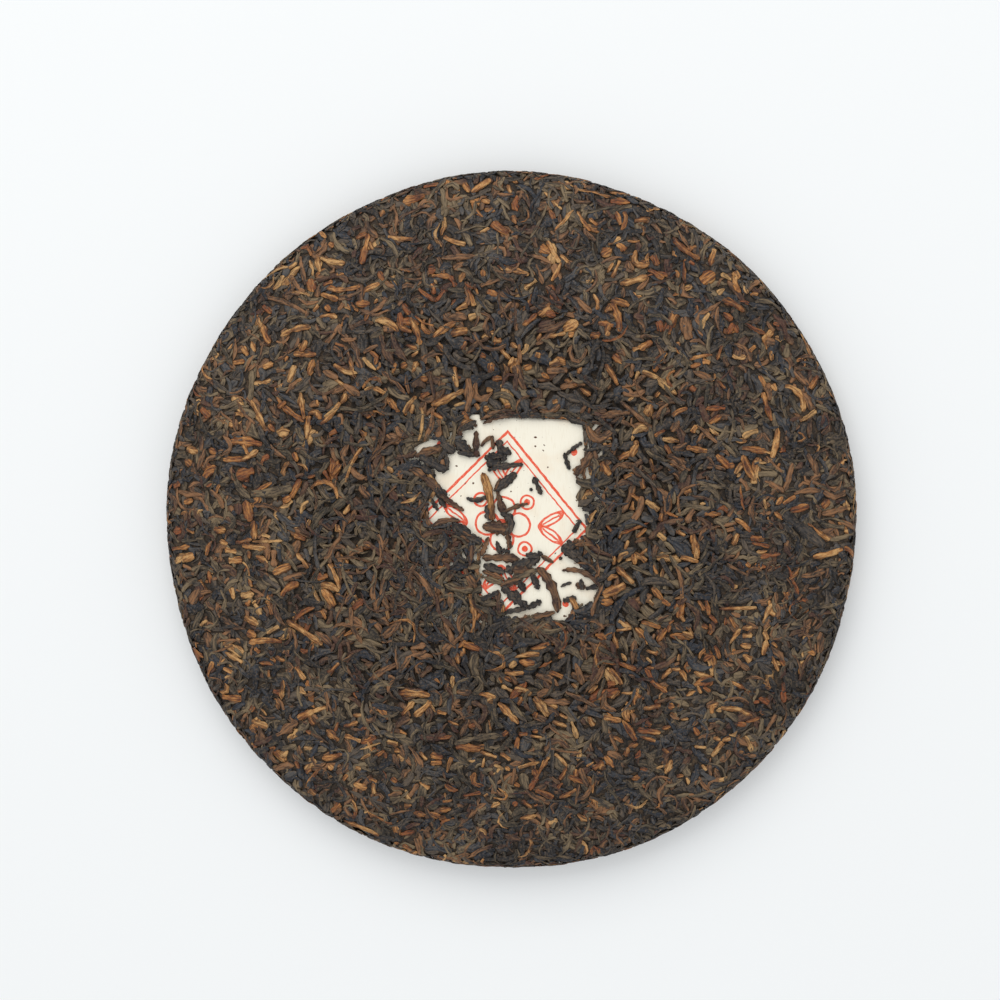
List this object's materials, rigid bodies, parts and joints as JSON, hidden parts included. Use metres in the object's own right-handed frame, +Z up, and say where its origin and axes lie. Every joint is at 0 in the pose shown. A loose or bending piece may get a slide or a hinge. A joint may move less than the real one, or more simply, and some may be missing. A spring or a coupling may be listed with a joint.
{
  "type": "pressed tea cake",
  "caption": "Round cake of pressed dark tea leaves, domed in front and dimpled behind, with a paper ticket showing through its face.",
  "frame": {"origin": "on the table, under the middle of the cake as it lies on its back", "axes": "+Z up out of the domed face that shows the ticket, +Y towards the ticket's top edge, +X to the right"},
  "size_m": [0.1996, 0.202, 0.0247],
  "materials": {
    "pressed_tea": "matt dry leaf",
    "ticket_paper": "matt thin paper"
  },
  "bodies": {
    "root": {"pressed_tea": "pressed_tea", "inner_ticket": "ticket_paper"}
  },
  "joints": []
}
